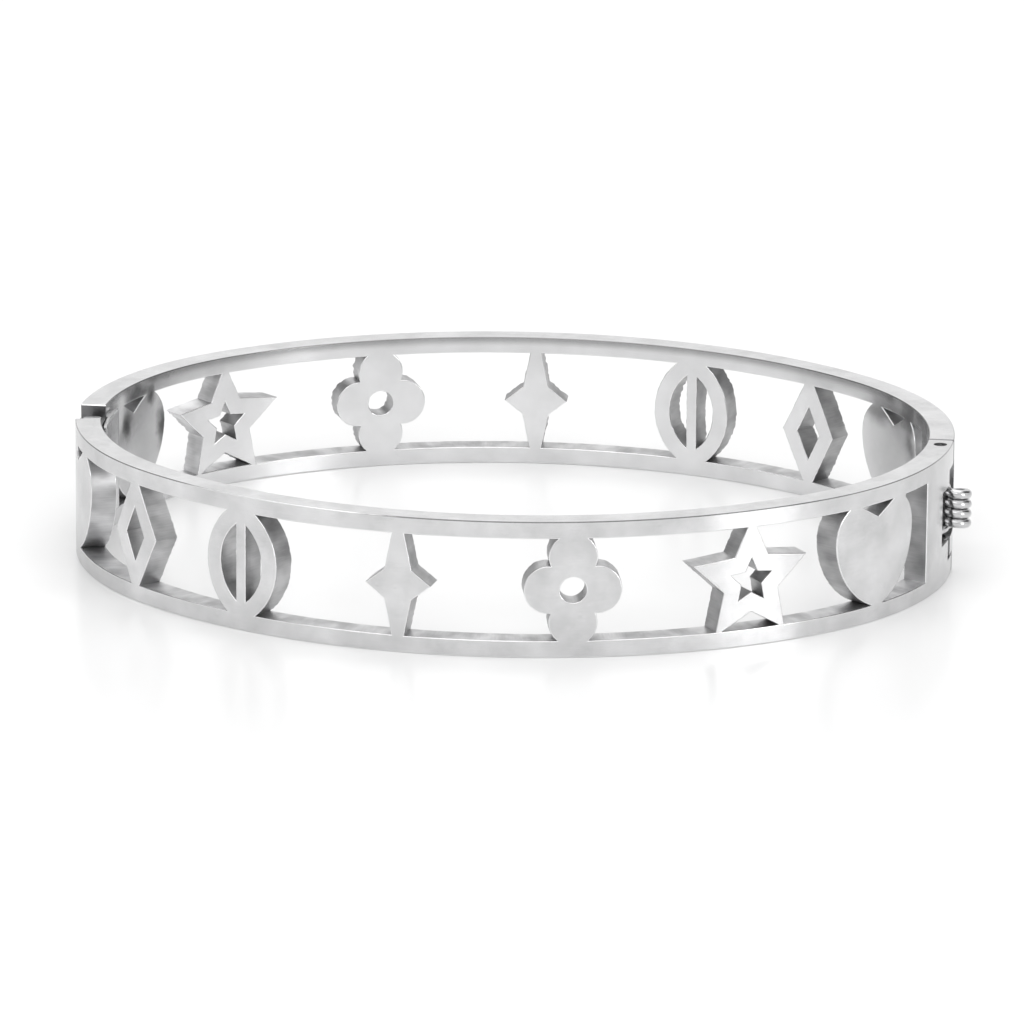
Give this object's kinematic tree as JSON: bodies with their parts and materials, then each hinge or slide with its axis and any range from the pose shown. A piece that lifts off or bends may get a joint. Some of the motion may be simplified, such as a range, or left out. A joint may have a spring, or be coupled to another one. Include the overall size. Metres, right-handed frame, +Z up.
{
  "type": "hinged bangle",
  "caption": "Oval hinged bangle in steel, its band pierced with a row of hearts, stars, leaves and flowers, with a spring at the hinge and a tongue clasp.",
  "frame": {"origin": "middle of the whole length and width, on the surface that the bangle's lower edge rests on", "axes": "+X along the oval from the clasp to the hinge, +Y from the front half to the back half, +Z up through the band's height"},
  "size_m": [0.0664, 0.0548, 0.01],
  "materials": {
    "steel": "satin",
    "polished_steel": "polished"
  },
  "bodies": {
    "front": {"front_half": "steel", "pivot_pin_top": "polished_steel", "pivot_pin_base": "polished_steel", "hinge_spring": "polished_steel"},
    "back": {"back_half": "steel", "clasp_tongue": "polished_steel"}
  },
  "joints": [
    {"name": "band_opens", "type": "hinge", "parent": "front", "child": "back", "pos_m": [0.03093, -0.0013, 0.005], "axis": [0, 0, -1], "range_deg": [0, 50], "stiffness_Nm_per_rad": 0.002, "springref_deg": -28.65, "deforming": ["hinge_spring"]}
  ]
}
